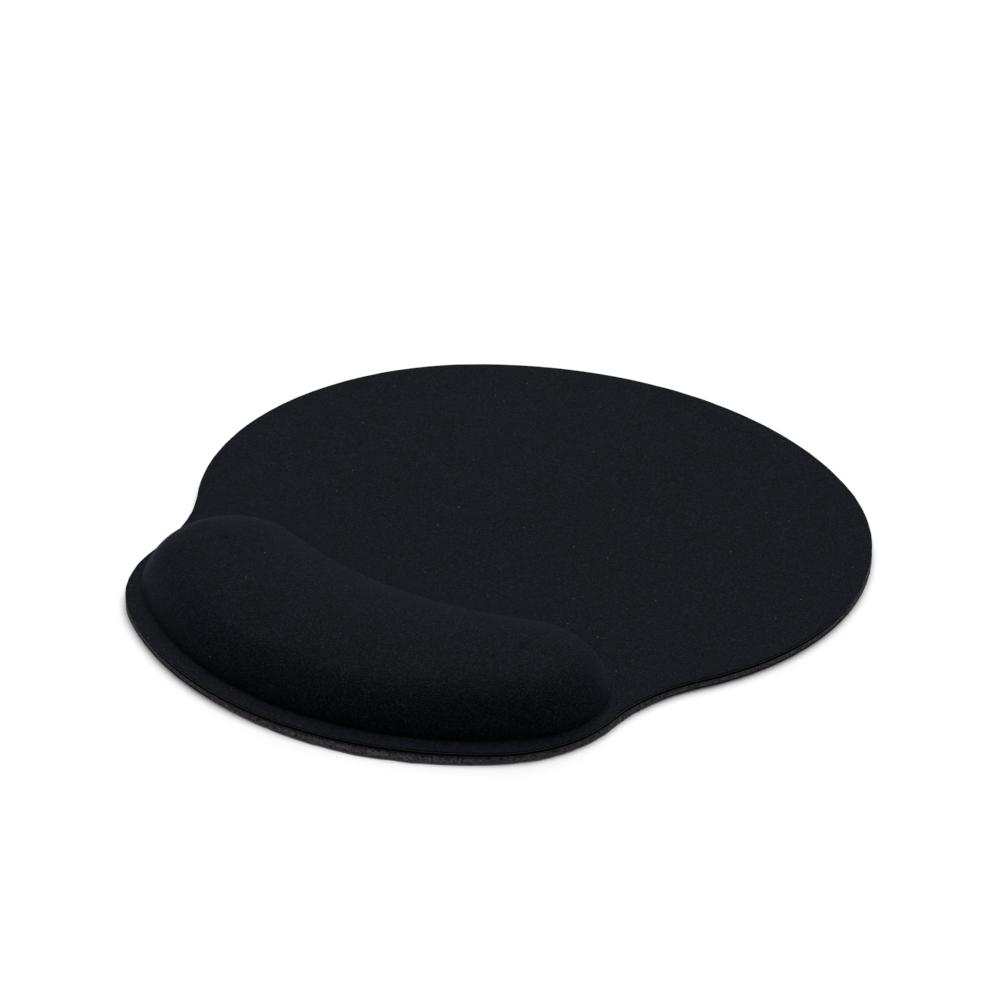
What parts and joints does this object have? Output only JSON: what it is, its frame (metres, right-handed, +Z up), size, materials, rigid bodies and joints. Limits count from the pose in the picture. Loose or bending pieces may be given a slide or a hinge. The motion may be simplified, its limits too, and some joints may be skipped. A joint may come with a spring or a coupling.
{
  "type": "mouse pad with gel wrist rest",
  "caption": "Flat laminated mouse pad, round at the back with a waisted front lobe that carries a domed kidney-shaped gel cushion to support the wrist, under one knit cover.",
  "frame": {"origin": "middle of the underside, at the centre of the pad's length and width, on the desk surface", "axes": "+X to the user's right, +Y away from the user from the wrist edge to the back edge, +Z up out of the desk"},
  "size_m": [0.235, 0.251, 0.0201],
  "materials": {
    "knit_cover": "matt fine-gauge polyester knit, near black",
    "backing_foam": "matt black closed-cell foam, cut edge",
    "base_foam": "speckled grey reground foam, cut edge",
    "grip_skin": "fine embossed polyurethane skin",
    "gel": "soft translucent gel",
    "pouch_film": "satin thermoplastic polyurethane film",
    "glue_film": "hot-melt adhesive film"
  },
  "bodies": {
    "root": {"grip_skin": "grip_skin", "base_foam": "base_foam", "base_glue_film": "glue_film", "backing_foam": "backing_foam", "gel_skin_lower": "pouch_film", "gel_core": "gel", "gel_skin_upper": "pouch_film", "cover_glue_film": "glue_film", "cover_fabric": "knit_cover"}
  },
  "joints": []
}
